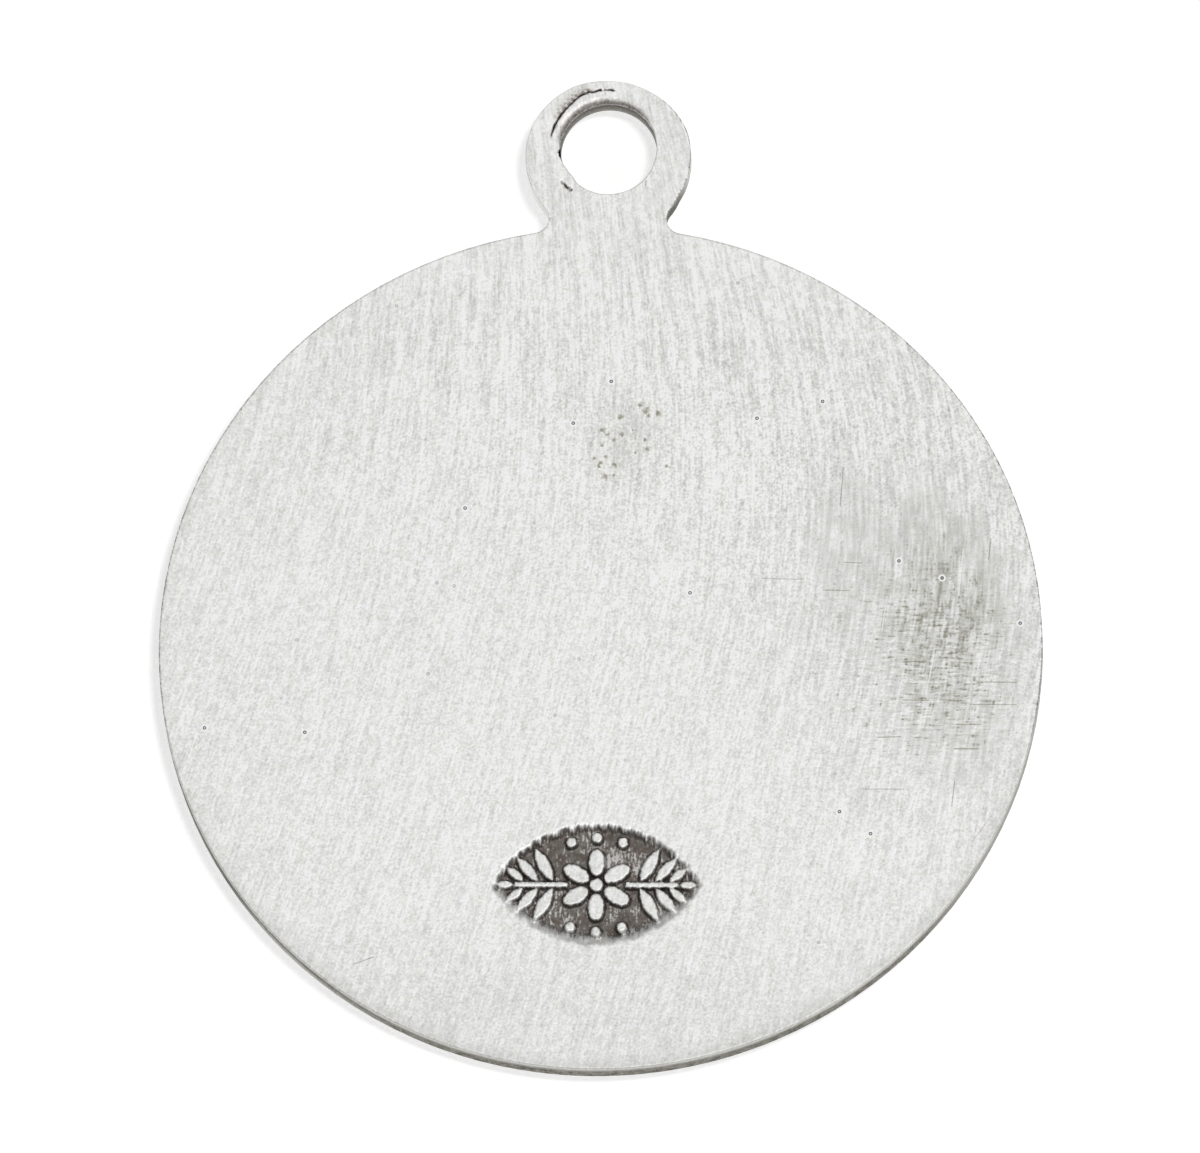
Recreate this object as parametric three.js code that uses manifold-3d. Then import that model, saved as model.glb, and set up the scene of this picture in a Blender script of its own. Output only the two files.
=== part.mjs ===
// Religious medal pendant: a round struck silver medal and its hanging loop, one piece of metal.
// Millimetres, +Z up. It lies front face down: the rim and the cross of the front rest at z = 0, and the
// flat back with its small stamped ornament faces up. The origin is below the middle of the disc, and
// +Y points from there to the loop.
import * as THREE from "three";
import { mergeVertices } from "three/addons/utils/BufferGeometryUtils.js";
import Module from "manifold-3d";

// Disc
const discRadius = 11;
const edgeWall = 0.6; // straight trimmed wall, from the back down
const shoulderHeight = 0.7; // rounded part of the edge, from the trimmed wall to the rim's crest
const shoulderWidth = 0.55;
const trimStep = 0.05; // the trimmed wall stands this far outside the struck front
const rimCrest = 0.3;
const rimSlope = 0.15; // run of the slope from the crest to the field
const fieldDepth = 0.45; // the front's field lies this far behind the crest

// Loop and eye
const eyeRadius = 1.2;
const loopWall = 0.84; // mean wall around the eye
const eyeRise = 0.26; // the eye sits this far above the middle of the loop
const loopSink = 0.23; // how deep the loop's circle sinks into the disc
const loopSetback = 0.3; // the loop's front lies this far behind the rim's crest
const loopRounding = 0.2;
const neckFillet = 0.4;

// Cross on the front, as high as the rim's crest
const crossClearance = 2.7; // open field above and below it
const crossSpan = 9.4;
const crossBarWidth = 2.2;
const crossBarHeight = 2.3; // the bars cross this far above the middle
const crossDraft = 0.22; // run of its sloping sides

// Stamped ornament on the back: a pointed oval sunk around a rosette, two leaf sprigs and beads
const markEdgeDistance = 4.8; // from its middle to the disc's edge
const markHalfLength = 2.65;
const markHalfHeight = 1.6;
const markDepth = 0.15;
const petalCount = 6;
const petalRing = 0.58; // radius of the petals' middles
const petalLength = 0.66;
const petalWidth = 0.36;
const rosetteBeadRadius = 0.15;
const beadRadius = 0.11;
const stemWidth = 0.1;
const stemStart = 0.74;
const stemEnd = 2.02;
const leafGap = 0.06; // between a leaf's foot and the stem

// One row for each pair of leaves: where it leaves the stem, its length and width, its lean in degrees
const leafPairs = [
  { along: 1.1, length: 0.9, width: 0.27, lean: 62 },
  { along: 1.48, length: 0.74, width: 0.23, lean: 50 },
  { along: 1.84, length: 0.48, width: 0.18, lean: 40 },
];
const tipLeaf = { along: 2.09, length: 0.38, width: 0.16 };

// Beads of the upper right quarter, repeated in the others
const beadPlaces = [
  { along: 0, up: 1.22 },
  { along: 0.64, up: 1.1 },
];

// Fineness of the curves
const discStep = THREE.MathUtils.degToRad(3.75);
const loopStep = THREE.MathUtils.degToRad(7.5);
const filletStep = THREE.MathUtils.degToRad(15);
const shoulderSteps = 6;
const roundingSteps = 4;
const leafSteps = 6;
const petalSteps = 14;
const beadSteps = 8;
const markArcSteps = 18;

const fullTurn = 2 * Math.PI;
const quarterTurn = Math.PI / 2;

const wasm = await Module();
wasm.setup();

// Places worked out from the sizes above
const thickness = edgeWall + shoulderHeight;
const frontRadius = discRadius - trimStep;
const crestRadius = frontRadius - shoulderWidth;
const fieldRadius = crestRadius - rimCrest - rimSlope;
const loopRadius = eyeRadius + loopWall;
const loopY = discRadius - loopSink + loopRadius;
const eyeY = loopY + eyeRise;
const buriedTop = shoulderHeight + edgeWall / 2; // bodies joined to the plate end inside it, at this height
const overlap = 0.1;
const mostRounded = 0.9; // of half the loop's thinnest wall
const clearOfPart = 1; // how far cutting bodies reach past the metal

// A closed mesh with shared corners becomes a solid.
function solid(geometry) {
  geometry.deleteAttribute("normal");
  geometry.deleteAttribute("uv");
  const merged = mergeVertices(geometry);
  const corners = merged.index.array;
  const triangles = [];
  for (let i = 0; i < corners.length; i += 3) {
    const [a, b, c] = corners.slice(i, i + 3);
    if (a !== b && b !== c && c !== a) triangles.push(a, b, c);
  }
  const vertProperties = merged.attributes.position.array;
  return new wasm.Manifold(
    new wasm.Mesh({ numProp: 3, vertProperties, triVerts: new Uint32Array(triangles) })
  );
}

// Points of an arc at equal steps, without its last one. It runs clockwise where the angle falls. The
// count is even, so that an arc's middle is one of its points.
function arc(x, y, radius, from, to, step) {
  const count = 2 * Math.max(1, Math.ceil(Math.abs(to - from) / (2 * step)));
  return Array.from({ length: count }, (_, i) => {
    const angle = from + ((to - from) * i) / count;
    return new THREE.Vector2(x + radius * Math.cos(angle), y + radius * Math.sin(angle));
  });
}

// The fillet's circle touches the disc and the loop from outside, on the right of the neck.
function filletPlace() {
  const fromDisc = discRadius + neckFillet;
  const fromLoop = loopRadius + neckFillet;
  const y = (loopY ** 2 + fromDisc ** 2 - fromLoop ** 2) / (2 * loopY);
  const x = Math.sqrt(fromDisc ** 2 - y ** 2);
  return { x, y, toDisc: Math.atan2(-y, -x), toLoop: Math.atan2(loopY - y, -x) };
}

// The neck and loop's edge, from the fillet's foot on the right to the one on the left
function loopEdge() {
  const { x, y, toDisc, toLoop } = filletPlace();
  return [
    ...arc(x, y, neckFillet, toDisc + fullTurn, toLoop, filletStep),
    ...arc(0, loopY, loopRadius, toLoop - Math.PI, fullTurn - toLoop, loopStep),
    ...arc(-x, y, neckFillet, Math.PI - toLoop, -Math.PI - toDisc, filletStep),
  ];
}

function eyeHole() {
  return new THREE.Path(arc(0, eyeY, eyeRadius, 0, fullTurn, loopStep));
}

// Flat plate with straight walls: the trimmed outline of disc, neck and loop
function plate() {
  const { toDisc } = filletPlace();
  const foot = toDisc + Math.PI;
  const shape = new THREE.Shape([
    ...loopEdge(),
    ...arc(0, 0, discRadius, Math.PI - foot, fullTurn + foot, discStep),
  ]);
  shape.holes.push(eyeHole());
  const geometry = new THREE.ExtrudeGeometry(shape, { depth: edgeWall, bevelEnabled: false });
  return solid(geometry.translate(0, 0, shoulderHeight));
}

// Struck front of the disc: field, rim and rounded shoulder, turned about the disc's axis
function struckFront() {
  const profile = [
    new THREE.Vector2(0, fieldDepth),
    new THREE.Vector2(fieldRadius, fieldDepth),
    new THREE.Vector2(crestRadius - rimCrest, 0),
  ];
  for (let i = 0; i <= shoulderSteps; i++) {
    const angle = (quarterTurn * i) / shoulderSteps;
    const radius = crestRadius + shoulderWidth * Math.sin(angle);
    profile.push(new THREE.Vector2(radius, shoulderHeight * (1 - Math.cos(angle))));
  }
  profile.push(new THREE.Vector2(frontRadius, buriedTop), new THREE.Vector2(0, buriedTop));
  const turns = Math.round(fullTurn / discStep);
  return solid(new THREE.LatheGeometry(profile, turns).rotateX(quarterTurn));
}

// Everything above the plate's middle, taken off bodies that are joined to it
function abovePlateMiddle() {
  const size = 4 * (discRadius + loopRadius);
  const height = thickness + 4 * shoulderHeight;
  const box = new THREE.BoxGeometry(size, size, height);
  return solid(box.translate(0, 0, buriedTop + height / 2));
}

// A raised form whose front is at frontZ, with sides that run in by run over rise
function raised(shape, frontZ, rise, run, steps, inset) {
  const geometry = new THREE.ExtrudeGeometry(shape, {
    depth: Math.max(buriedTop - frontZ - rise, overlap),
    bevelThickness: rise,
    bevelSize: run,
    bevelOffset: -run - inset,
    bevelSegments: steps,
  });
  return solid(geometry.translate(0, 0, frontZ + rise)).subtract(abovePlateMiddle());
}

// Front of the loop and neck, rounded towards both edges. Its foot is buried in the rim.
function loopFront() {
  const rimMiddle = crestRadius - rimCrest / 2;
  const edge = loopEdge();
  const shape = new THREE.Shape([
    ...edge,
    new THREE.Vector2(-edge[0].x, rimMiddle),
    new THREE.Vector2(edge[0].x, rimMiddle),
  ]);
  shape.holes.push(eyeHole());
  const thinnestWall = loopWall - eyeRise;
  const rounding = Math.min(loopRounding, (thinnestWall / 2) * mostRounded - trimStep);
  const rise = shoulderHeight - loopSetback;
  return raised(shape, loopSetback, rise, rounding, roundingSteps, trimStep);
}

// Plain Latin cross with sloping sides
function cross() {
  const side = crossBarWidth / 2;
  const end = fieldRadius - crossClearance;
  const low = crossBarHeight - side;
  const high = crossBarHeight + side;
  const right = [
    [side, -end],
    [side, low],
    [crossSpan / 2, low],
    [crossSpan / 2, high],
    [side, high],
    [side, end],
  ];
  const left = right.map(([x, y]) => [-x, y]).reverse();
  const shape = new THREE.Shape([...right, ...left].map(([x, y]) => new THREE.Vector2(x, y)));
  return raised(shape, 0, fieldDepth, crossDraft, 1, 0);
}

// A pointed leaf or oval between two equal arcs, from one point to the other along +X
function leafPoints(length, width, steps) {
  const half = length / 2;
  const radius = (half ** 2 + (width / 2) ** 2) / width;
  const reach = Math.asin(half / radius);
  const drop = radius - width / 2;
  const step = (2 * reach) / steps;
  return [
    ...arc(half, drop, radius, -quarterTurn - reach, -quarterTurn + reach, step),
    ...arc(half, -drop, radius, quarterTurn - reach, quarterTurn + reach, step),
  ];
}

function placed(points, x, y, angle) {
  const origin = new THREE.Vector2();
  return points.map((p) => p.clone().rotateAround(origin, angle).add(new THREE.Vector2(x, y)));
}

// Outlines of one sprig, on the right of the rosette: its stem, pairs of leaves and a leaf at the tip
function sprig() {
  const half = stemWidth / 2;
  const stem = [
    [stemStart, -half],
    [stemEnd, -half],
    [stemEnd, half],
    [stemStart, half],
  ].map(([x, y]) => new THREE.Vector2(x, y));
  const tip = placed(leafPoints(tipLeaf.length, tipLeaf.width, leafSteps), tipLeaf.along, 0, 0);
  const leaves = leafPairs.flatMap(({ along, length, width, lean }) =>
    [1, -1].map((side) => {
      const angle = side * THREE.MathUtils.degToRad(lean);
      return placed(leafPoints(length, width, leafSteps), along, side * (half + leafGap), angle);
    })
  );
  return [stem, tip, ...leaves];
}

// Outlines of the rosette: petals on a ring around a bead
function rosette() {
  const petal = arc(0, 0, 1, 0, fullTurn, fullTurn / petalSteps).map(
    (p) => new THREE.Vector2((p.x * petalLength) / 2 + petalRing, (p.y * petalWidth) / 2)
  );
  const petals = Array.from({ length: petalCount }, (_, i) =>
    placed(petal, 0, 0, quarterTurn + (fullTurn * i) / petalCount)
  );
  return [bead(0, 0, rosetteBeadRadius), ...petals];
}

function bead(x, y, radius) {
  return arc(x, y, radius, 0, fullTurn, fullTurn / beadSteps);
}

function beads() {
  return beadPlaces.flatMap(({ along, up }) => {
    const sides = along ? [1, -1] : [1];
    return sides.flatMap((side) => [up, -up].map((y) => bead(side * along, y, beadRadius)));
  });
}

// The cutter sinks the pointed oval and leaves the ornament standing as high as the back.
function markCutter() {
  const markY = markEdgeDistance - discRadius;
  const prism = (points) => {
    const depth = markDepth + clearOfPart;
    const geometry = new THREE.ExtrudeGeometry(new THREE.Shape(points), { depth, bevelEnabled: false });
    return solid(geometry.translate(0, markY, thickness - markDepth));
  };
  const oval = leafPoints(2 * markHalfLength, 2 * markHalfHeight, markArcSteps);
  const right = sprig();
  const left = right.map((points) => placed(points, 0, 0, Math.PI));
  const standing = [...rosette(), ...right, ...left, ...beads()];
  return standing.reduce(
    (cutter, points) => cutter.subtract(prism(points)),
    prism(placed(oval, -markHalfLength, 0, 0))
  );
}

const medalBody = plate().add(struckFront()).add(loopFront()).add(cross()).subtract(markCutter());

const { vertProperties, triVerts } = medalBody.getMesh();
const geometry = new THREE.BufferGeometry();
geometry.setAttribute("position", new THREE.BufferAttribute(vertProperties, 3));
geometry.setIndex(new THREE.BufferAttribute(triVerts, 1));
geometry.computeVertexNormals();

const silver = new THREE.MeshStandardMaterial({
  color: 0xdededa,
  roughness: 0.45,
  metalness: 0.9,
  flatShading: true,
});
const medal = new THREE.Mesh(geometry, silver);
medal.name = "medal";

const group = new THREE.Group();
group.add(medal);

export default group;
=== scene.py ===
"""A round struck silver medal with its hanging loop, lying front face down on a white table.

The medal is one piece of metal: a disc with a trimmed edge, a neck and a loop. Its back is brushed and
stained, and holds a small stamped ornament with dark tarnish in it. Its front has a raised rim and a plain
Latin cross. All of its surfaces are worked out here on grids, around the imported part.
"""

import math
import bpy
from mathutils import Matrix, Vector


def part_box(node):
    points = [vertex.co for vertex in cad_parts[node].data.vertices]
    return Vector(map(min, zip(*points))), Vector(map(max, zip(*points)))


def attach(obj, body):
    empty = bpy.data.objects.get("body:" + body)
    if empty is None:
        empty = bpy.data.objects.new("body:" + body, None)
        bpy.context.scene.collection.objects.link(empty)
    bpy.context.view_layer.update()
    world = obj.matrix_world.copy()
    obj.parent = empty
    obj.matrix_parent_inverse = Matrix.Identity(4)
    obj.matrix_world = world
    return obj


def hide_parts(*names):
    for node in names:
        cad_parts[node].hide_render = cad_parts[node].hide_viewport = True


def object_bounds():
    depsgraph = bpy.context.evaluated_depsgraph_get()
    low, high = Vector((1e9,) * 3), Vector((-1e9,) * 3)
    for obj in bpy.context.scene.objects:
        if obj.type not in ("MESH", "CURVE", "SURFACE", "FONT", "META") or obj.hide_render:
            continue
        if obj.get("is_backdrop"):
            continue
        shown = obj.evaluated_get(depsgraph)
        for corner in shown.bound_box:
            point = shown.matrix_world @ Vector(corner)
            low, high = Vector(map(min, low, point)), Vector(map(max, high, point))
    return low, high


bl_info = {
    "name": "Religious Medal Pendant",
    "version": (1, 0, 0),
    "blender": (4, 5, 0),
    "location": "View3D > Sidebar > Medal",
    "description": "Builds a struck silver medal with a brushed back, a worn loop and a raised cross",
    "category": "Add Mesh",
}

from types import SimpleNamespace

import bmesh
import bpy
import numpy as np
from bpy.props import FloatProperty, FloatVectorProperty, IntProperty, PointerProperty
from mathutils import Matrix, Vector

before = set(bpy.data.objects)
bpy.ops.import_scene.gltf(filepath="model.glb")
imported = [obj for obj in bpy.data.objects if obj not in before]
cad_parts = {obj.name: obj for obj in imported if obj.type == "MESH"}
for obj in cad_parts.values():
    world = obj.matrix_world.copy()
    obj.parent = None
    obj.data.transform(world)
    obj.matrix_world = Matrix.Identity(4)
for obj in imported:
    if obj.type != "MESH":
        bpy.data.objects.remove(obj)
CAD_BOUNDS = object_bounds()
LOWEST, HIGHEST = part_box("medal")

MM = 0.001
BACK, EDGE, BORE, FRONT = range(4)
WHITE = (1.0, 1.0, 1.0)

# Spacing of the meshes, in millimetres, degrees and counts
ORNAMENT_STEP = 0.028
DISC_STEP = 3
LOOP_STEP = 1
NECK_STEP = 8
SEAM_STEPS = 40
SHARP_ANGLE = 50
WELD_DISTANCE = 0.0002

# Plane waves in one ripple, and the smallest number that a length is divided by
WAVES = 14
TINY = 1e-9

# Half the table's side, and how far its top lies below the medal
TABLE_HALF = 0.5
TABLE_GAP = 0.01 * MM
SENSOR_WIDTH = 36


def length(name, millimetres, description):
    """A size in metres, with its default given in millimetres."""
    return FloatProperty(
        name=name, description=description, default=millimetres * MM, min=0, unit="LENGTH", precision=5
    )


def angle(name, degrees, description):
    return FloatProperty(
        name=name, description=description, default=math.radians(degrees), subtype="ANGLE"
    )


def colour(name, default, description):
    return FloatVectorProperty(
        name=name, description=description, default=default, size=3, min=0, max=1, subtype="COLOR"
    )


def factor(name, default, description, most=1):
    return FloatProperty(name=name, description=description, default=default, min=0, max=most)


class MedalSizes(bpy.types.PropertyGroup):
    disc_radius: length("Disc radius", -LOWEST.y / MM, "Middle of the disc to its trimmed edge")
    thickness: length("Thickness", (HIGHEST.z - LOWEST.z) / MM, "Rim's crest to the back")
    edge_wall: length("Edge wall", 0.6, "Height of the straight trimmed wall below the back")
    back_edge: length("Back edge", 0.035, "Radius of the worn edge around the back")
    shoulder_width: length("Shoulder width", 0.55, "Width of the rounded part outside the rim's crest")
    trim_step: length("Trim step", 0.05, "The trimmed wall stands this far outside the struck front")
    rim_crest: length("Rim crest", 0.3, "Width of the flat top of the rim")
    rim_slope: length("Rim slope", 0.15, "Width of the slope from the crest to the field")
    field_depth: length("Field depth", 0.45, "The field lies this far behind the rim's crest")
    eye_radius: length("Eye radius", 1.2, "Radius of the hole in the loop")
    loop_wall: length("Loop wall", 0.84, "Mean wall around the eye")
    eye_rise: length("Eye rise", 0.26, "The eye sits this far above the middle of the loop")
    loop_sink: length("Loop sink", 0.23, "How deep the loop's circle sinks into the disc")
    loop_setback: length("Loop setback", 0.3, "The loop's front lies this far behind the rim's crest")
    loop_rounding: length("Loop rounding", 0.2, "Width of the rounding along the loop's front edges")
    neck_fillet: length("Neck fillet", 0.4, "Radius of the hollow corners of the neck")
    cross_clearance: length("Cross clearance", 2.7, "Open field above and below the cross")
    cross_span: length("Cross span", 9.4, "Width of the cross from arm to arm")
    cross_bar_width: length("Cross bar width", 2.2, "Width of both bars at their foot")
    cross_bar_height: length("Cross bar height", 2.3, "The bars cross this far above the middle")
    cross_draft: length("Cross draft", 0.22, "Run of the cross's sloping sides")


class MarkSizes(bpy.types.PropertyGroup):
    edge_distance: length("Edge distance", 4.8, "Middle of the ornament to the disc's edge")
    half_length: length("Half length", 2.65, "Half the length of the sunk pointed oval")
    half_height: length("Half height", 1.6, "Half the height of the sunk pointed oval")
    depth: length("Depth", 0.15, "How deep the pointed oval is sunk")
    petal_count: IntProperty(name="Petals", description="Petals of the rosette", default=6, min=3)
    petal_ring: length("Petal ring", 0.58, "Radius of the ring of the petals' middles")
    petal_length: length("Petal length", 0.66, "Length of a petal")
    petal_width: length("Petal width", 0.36, "Width of a petal")
    rosette_bead: length("Rosette bead", 0.15, "Radius of the bead in the rosette's middle")
    bead: length("Bead", 0.11, "Radius of the beads above and below the rosette")
    stem_width: length("Stem width", 0.1, "Width of a sprig's stem")
    stem_start: length("Stem start", 0.74, "Where a stem starts, from the rosette's middle")
    stem_end: length("Stem end", 2.02, "Where a stem ends")
    leaf_gap: length("Leaf gap", 0.06, "Gap between a leaf's foot and the stem")
    side_run: length("Side run", 0.075, "Run of the raised forms' sloping sides")


class SilverLook(bpy.types.PropertyGroup):
    silver_warm: colour("Warm silver", (0.883, 0.881, 0.858), "Brushed silver, its warmer places")
    silver_cool: colour("Cool silver", (0.917, 0.922, 0.912), "Brushed silver, its cooler places")
    # Also used for the painted shade along the back's edge at the bottom and left
    stain: colour("Stain", (0.47, 0.465, 0.415), "Tarnish stain on the brushed back")
    spot: colour("Spots", (0.27, 0.24, 0.15), "Small brown spots")
    red: colour("Red mark", (0.5, 0.32, 0.32), "Reddish scratch on the right")
    pinhole: colour("Pinholes", (0.08, 0.08, 0.11), "Dark ring of a pinhole")
    oxide: colour("Oxide", (0.190, 0.176, 0.163), "Dark tarnish in the stamped ornament")
    oxide_brown: colour("Brown oxide", (0.142, 0.118, 0.103), "Browner places of that tarnish")
    # Also painted shadow in the ornament's corners and painted shade at the eye's lip
    soot_and_shade: colour("Soot", (0.022, 0.017, 0.012), "Darkest tarnish, in corners and cracks")
    edge: colour("Edge", (0.31, 0.302, 0.268), "Trimmed edge, its cleaner places")
    # Also painted shade on the wall's left, and the painted dark line of shade along the back's edge
    edge_dark_and_shade: colour("Dark edge", (0.1, 0.092, 0.07), "Trimmed edge, its dark line and specks")
    edge_top: colour("Edge's top", (0.69, 0.683, 0.655), "Trimmed edge, just below the back")
    edge_pale: colour("Pale edge", (0.5, 0.485, 0.45), "Trimmed edge, its paler places at both sides")
    # Also the band of painted shade over the eye's lip
    rust_and_shade: colour("Brown tarnish", (0.15, 0.1, 0.07), "Brown tarnish along the cracks")
    bore: colour("Eye bore", (0.36, 0.35, 0.32), "Wall of the eye, its lighter specks")
    bore_dark: colour("Dark eye bore", (0.13, 0.12, 0.098), "Wall of the eye, dirty")
    front: colour("Front", (0.86, 0.86, 0.85), "Struck front")
    roughness: factor("Roughness", 0.6, "Roughness of the brushed back")


class StageSettings(bpy.types.PropertyGroup):
    elevation: angle("Elevation", 72, "Height of the camera above the horizon")
    azimuth: angle("Azimuth", 6.8, "Turn of the camera round the medal, from -Y towards +X")
    roll: angle("Roll", -6.2, "Turn of the camera about its own axis, anticlockwise")
    distance: length("Distance", 1000, "Camera to the medal's back")
    view_width: length("View width", 29.873, "Width of the view where it meets the back")
    aim_x: FloatProperty(
        name="Aim X", description="Middle of the view, across", default=-0.039 * MM, unit="LENGTH"
    )
    aim_y: length("Aim Y", 1.836, "Middle of the view, up from the disc's middle")
    key_strength: factor("Key strength", 1.05, "Strength of the sun lamp", 20)
    key_elevation: angle("Key elevation", 76.7, "Height of the key light")
    key_azimuth: angle("Key azimuth", -25.8, "Direction of the key light, from +X towards +Y")
    key_softness: angle("Key softness", 9, "Angular size of the key light")
    sky_strength: factor("Sky strength", 0.45, "Strength of the light from all round", 5)
    floor_glow: factor("Floor glow", 0.47, "Light that the lit table gives off itself")
    floor: colour("Floor", (0.8, 0.8, 0.8), "Table")


# Leaves of a sprig, in millimetres and degrees, one row for each pair: where it leaves the stem, its length
# and width, and its lean from the stem
LEAF_PAIRS = (
    dict(along=1.1, length=0.9, width=0.27, lean=62),
    dict(along=1.48, length=0.74, width=0.23, lean=50),
    dict(along=1.84, length=0.48, width=0.18, lean=40),
)
TIP_LEAF = dict(along=2.09, length=0.38, width=0.16)

# Beads of the upper right quarter, in millimetres from the rosette's middle, repeated in the others
BEAD_PLACES = (dict(along=0, up=1.22), dict(along=0.64, up=1.1))


def plain(group):
    """The group's values as plain numbers, with lengths in millimetres."""
    values = {}
    for name, kind in group.bl_rna.properties.items():
        if kind.type in {"FLOAT", "INT"}:
            value = getattr(group, name)
            values[name] = value / MM if getattr(kind, "unit", "NONE") == "LENGTH" else value
    return SimpleNamespace(**values)


def medal_sizes(scene):
    """The medal's sizes in millimetres, with the places that follow from them."""
    s = plain(scene.medal_sizes)
    s.shoulder_height = s.thickness - s.edge_wall
    s.front_radius = s.disc_radius - s.trim_step
    s.crest_radius = s.front_radius - s.shoulder_width
    s.field_radius = s.crest_radius - s.rim_crest - s.rim_slope
    s.loop_radius = s.eye_radius + s.loop_wall
    s.loop_y = s.disc_radius - s.loop_sink + s.loop_radius
    s.eye_y = s.loop_y + s.eye_rise
    from_disc = s.disc_radius + s.neck_fillet
    from_loop = s.loop_radius + s.neck_fillet
    s.fillet_y = (s.loop_y**2 + from_disc**2 - from_loop**2) / (2 * s.loop_y)
    s.fillet_x = math.sqrt(from_disc**2 - s.fillet_y**2)
    s.mark = plain(scene.medal_mark)
    s.mark.y = s.mark.edge_distance - s.disc_radius
    return s


def smooth(value, low, high):
    """0 below low, 1 above high and a smooth S between them."""
    t = np.clip((value - low) / (high - low), 0, 1)
    return t * t * (3 - 2 * t)


def ripple(x, y, wavelength, seed):
    """Smooth noise of about -1 to 1: the sum of plane waves with seeded directions, lengths and phases."""
    rng = np.random.default_rng(seed)
    turn, phase = rng.uniform(0, 2 * np.pi, (2, WAVES))
    wave = 2 * np.pi / (wavelength * rng.uniform(0.7, 1.5, WAVES))
    x = np.asarray(x)[..., None]
    y = np.asarray(y)[..., None]
    waves = np.cos(wave * (x * np.cos(turn) + y * np.sin(turn)) + phase)
    return waves.sum(-1) / math.sqrt(2 * WAVES)


def arc(centre, radius, angles):
    """Points at the given angles, in radians, around a centre."""
    return np.stack([centre[0] + radius * np.cos(angles), centre[1] + radius * np.sin(angles)], -1)


def steps(start, stop, spacing):
    """Even steps of about the given spacing from start up to, but without, stop."""
    count = max(2, math.ceil(abs(stop - start) / spacing))
    return start + (stop - start) * np.arange(count) / count


def cross_corners(s):
    """Corners of the cross's flat top and of its foot, all in one list of x and y."""
    corners = []
    for grow in (0, s.cross_draft):
        half = s.cross_bar_width / 2 - s.cross_draft + grow
        reach = s.cross_span / 2 - s.cross_draft + grow
        end = s.field_radius - s.cross_clearance - s.cross_draft + grow
        for side in (-1, 1):
            corners += [(side * half, end), (side * half, -end)]
            corners += [(side * x, s.cross_bar_height + h * half) for x in (half, reach) for h in (-1, 1)]
    return np.array(corners)


def disc_angles(s):
    """Angles of the points along the disc's edge, from the left of the neck round to its right: wide steps,
    close ones opposite the ornament, and one in line with each corner of the cross, seen from its middle."""
    foot = math.atan2(s.fillet_y, s.fillet_x)
    start, stop = math.pi - foot, 2 * math.pi + foot
    mark_reach = math.atan2(s.mark.half_length + 0.1, -s.mark.y)
    middle = 1.5 * math.pi
    close = steps(middle - mark_reach, middle + mark_reach, ORNAMENT_STEP / -s.mark.y)
    wide = steps(start, stop, math.radians(DISC_STEP))
    wide = wide[np.abs(wide - middle) > mark_reach]
    eye_line = np.array([0, s.cross_bar_height])
    way = cross_corners(s) - eye_line
    way /= np.linalg.norm(way, axis=1, keepdims=True)
    along = way @ eye_line
    reach = -along + np.sqrt(s.front_radius**2 - eye_line @ eye_line + along**2)
    hits = eye_line + reach[:, None] * way
    corners = np.mod(np.arctan2(hits[:, 1], hits[:, 0]) - start, 2 * np.pi) + start
    corners = corners[corners < stop]
    angles = np.concatenate([close, wide, corners])
    return np.unique(np.round(angles, 5))


# How far the hand-filed loop stands out of its circle: direction in degrees, and millimetres
LOOP_BULGE = (
    (-38, 0), (-28, -0.03), (-12, 0), (20, 0.045), (60, -0.01), (92, 0), (115, 0.05), (160, 0.055), (218, 0),
)


def loop_bulge(turn):
    """How far the loop's edge stands out of its circle, at an angle in radians."""
    direction, bulge = np.array(LOOP_BULGE).T
    return np.interp(np.mod(np.degrees(turn) + 90, 360) - 90, direction, bulge)


def outline(s, inset):
    """The medal's edge as two open runs of points, moved inwards by inset. The first goes from the neck's
    narrowest place on the right up round the loop to its narrowest place on the left, and the second from
    there down round the disc. Each is made of arcs around fixed middles: those of the disc and the loop
    shrink by inset, and the hollow ones of the neck grow by it."""
    to_loop = math.atan2(s.loop_y - s.fillet_y, -s.fillet_x)
    to_disc = math.atan2(-s.fillet_y, -s.fillet_x) + 2 * math.pi
    hollow = s.neck_fillet + inset
    right, left = (s.fillet_x, s.fillet_y), (-s.fillet_x, s.fillet_y)
    bend = math.radians(NECK_STEP)
    upper = steps(math.pi, to_loop, bend)
    lower = steps(to_disc, math.pi, bend)
    loop_angles = steps(to_loop - math.pi, 2 * math.pi - to_loop, math.radians(LOOP_STEP))
    upper_left = steps(math.pi - to_loop, 0, bend)
    loop_run = [
        arc(right, hollow, upper),
        arc((0, s.loop_y), s.loop_radius - inset + loop_bulge(loop_angles), loop_angles),
        arc(left, hollow, np.append(upper_left, 0)),
    ]
    disc_run = [
        arc(left, hollow, steps(0, math.pi - to_disc, bend)),
        arc((0, 0), s.disc_radius - inset, disc_angles(s)),
        arc(right, hollow, np.append(lower, math.pi)),
    ]
    return np.concatenate(loop_run), np.concatenate(disc_run)


def seam(s, inset):
    """Inner points of the arc around the disc's middle that joins the neck's narrowest places, from the
    right to the left. The disc's surfaces end there and the loop's begin."""
    half = s.fillet_x - s.neck_fillet - inset
    radius = math.hypot(half, s.fillet_y)
    reach = math.atan2(half, s.fillet_y)
    return arc((0, 0), radius, math.pi / 2 + np.linspace(-reach, reach, SEAM_STEPS + 1)[1:-1])


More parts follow.
